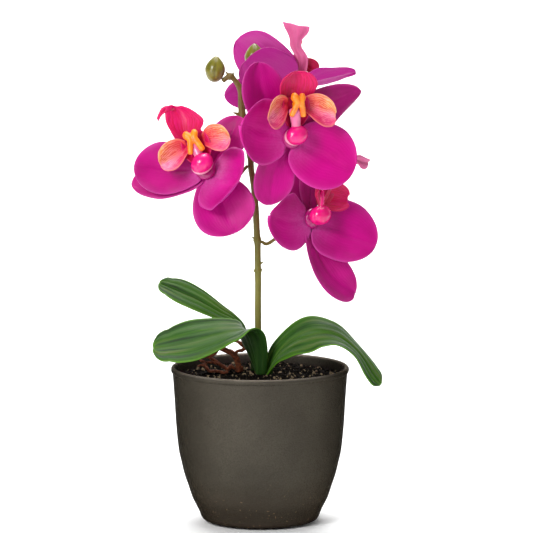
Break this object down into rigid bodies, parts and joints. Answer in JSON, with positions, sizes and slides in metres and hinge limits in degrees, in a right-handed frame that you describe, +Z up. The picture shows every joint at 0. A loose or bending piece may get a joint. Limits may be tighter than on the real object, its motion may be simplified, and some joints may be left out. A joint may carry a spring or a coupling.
{
  "type": "potted orchid",
  "caption": "Moth orchid in a round dark cover pot: arching strap leaves, aerial roots and one spike of open magenta flowers with buds.",
  "frame": {"origin": "centre of the pot's flat foot, on the surface it stands on", "axes": "+Z up the flower spike, -Y the side most of the flowers face, +X to the right seen from that side"},
  "size_m": [0.1529, 0.1153, 0.3048],
  "materials": {
    "pot": "satin anthracite with a fine grain",
    "compost": "rough, dark bark and peat",
    "leaf": "satin, veined",
    "root": "matt",
    "spike": "satin",
    "bud": "gloss",
    "tepal": "soft sheen, veined",
    "lip": "satin",
    "callus": "satin",
    "column": "gloss"
  },
  "bodies": {
    "root": {"bud_left": "bud", "bud_top": "bud", "bud_top_stalk": "spike", "compost": "compost", "crown": "leaf", "flower_spike": "spike", "front_callus": "callus", "front_column": "column", "front_lip_hood": "lip", "front_lip_lobe_left": "lip", "front_lip_lobe_right": "lip", "front_petal_left": "tepal", "front_petal_right": "tepal", "front_sepal_bottom": "tepal", "front_sepal_left": "tepal", "front_sepal_right": "tepal", "front_stalk": "spike", "leaf_back": "leaf", "leaf_left": "leaf", "leaf_right": "leaf", "left_callus": "callus", "left_column": "column", "left_lip_hood": "lip", "left_lip_lobe_left": "lip", "left_lip_lobe_right": "lip", "left_petal_left": "tepal", "left_petal_right": "tepal", "left_sepal_bottom": "tepal", "left_sepal_left": "tepal", "left_sepal_right": "tepal", "left_stalk": "spike", "lower_callus": "callus", "lower_column": "column", "lower_lip_hood": "lip", "lower_lip_lobe_left": "lip", "lower_lip_lobe_right": "lip", "lower_petal_left": "tepal", "lower_petal_right": "tepal", "lower_sepal_bottom": "tepal", "lower_sepal_left": "tepal", "lower_sepal_right": "tepal", "lower_stalk": "spike", "pot": "pot", "root_arch": "root", "root_long": "root", "root_short": "root", "top_callus": "callus", "top_column": "column", "top_lip_hood": "lip", "top_lip_lobe_left": "lip", "top_lip_lobe_right": "lip", "top_petal_left": "tepal", "top_petal_right": "tepal", "top_sepal_bottom": "tepal", "top_sepal_left": "tepal", "top_sepal_right": "tepal", "top_stalk": "spike"}
  },
  "joints": []
}
